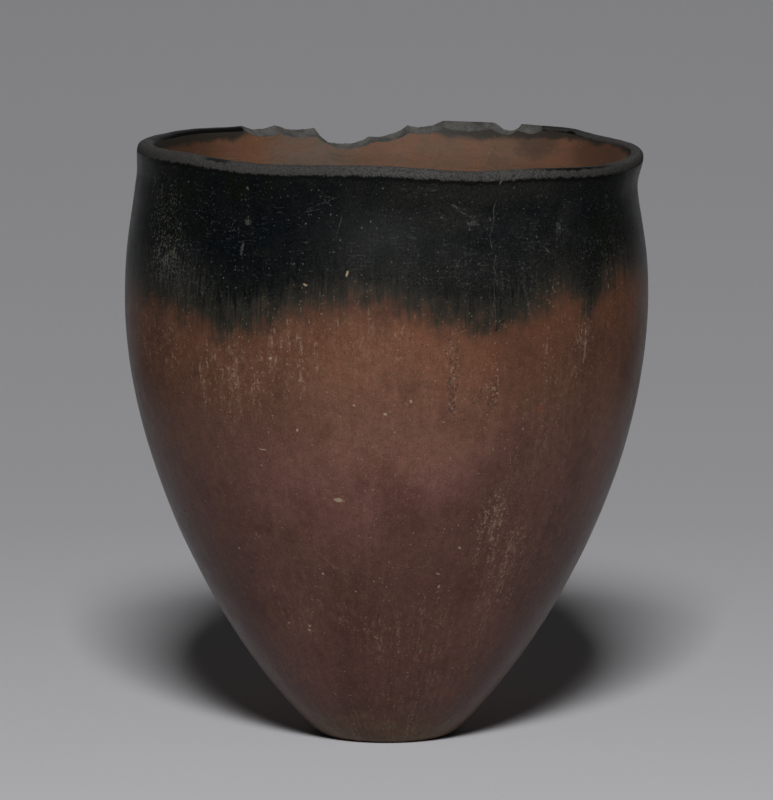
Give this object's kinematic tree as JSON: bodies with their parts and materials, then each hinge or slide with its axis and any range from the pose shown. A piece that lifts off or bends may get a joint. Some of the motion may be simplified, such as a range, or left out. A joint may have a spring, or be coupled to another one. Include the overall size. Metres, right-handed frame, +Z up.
{
  "type": "black-topped beaker",
  "caption": "Deep egg-shaped clay beaker on a small flat foot, open at the top, with a black band round a thin worn rim and a plaster fill set into the rim.",
  "frame": {"origin": "centre of the flat foot, on the surface that the beaker stands on", "axes": "+Z up along the beaker's axis; the side seen in the picture faces -Y; +X is the picture's right"},
  "size_m": [0.1594, 0.1594, 0.1818],
  "materials": {
    "fired_clay": "satin",
    "fill_plaster": "matte"
  },
  "bodies": {
    "root": {"vessel_body": "fired_clay", "rim_fill": "fill_plaster"}
  },
  "joints": []
}
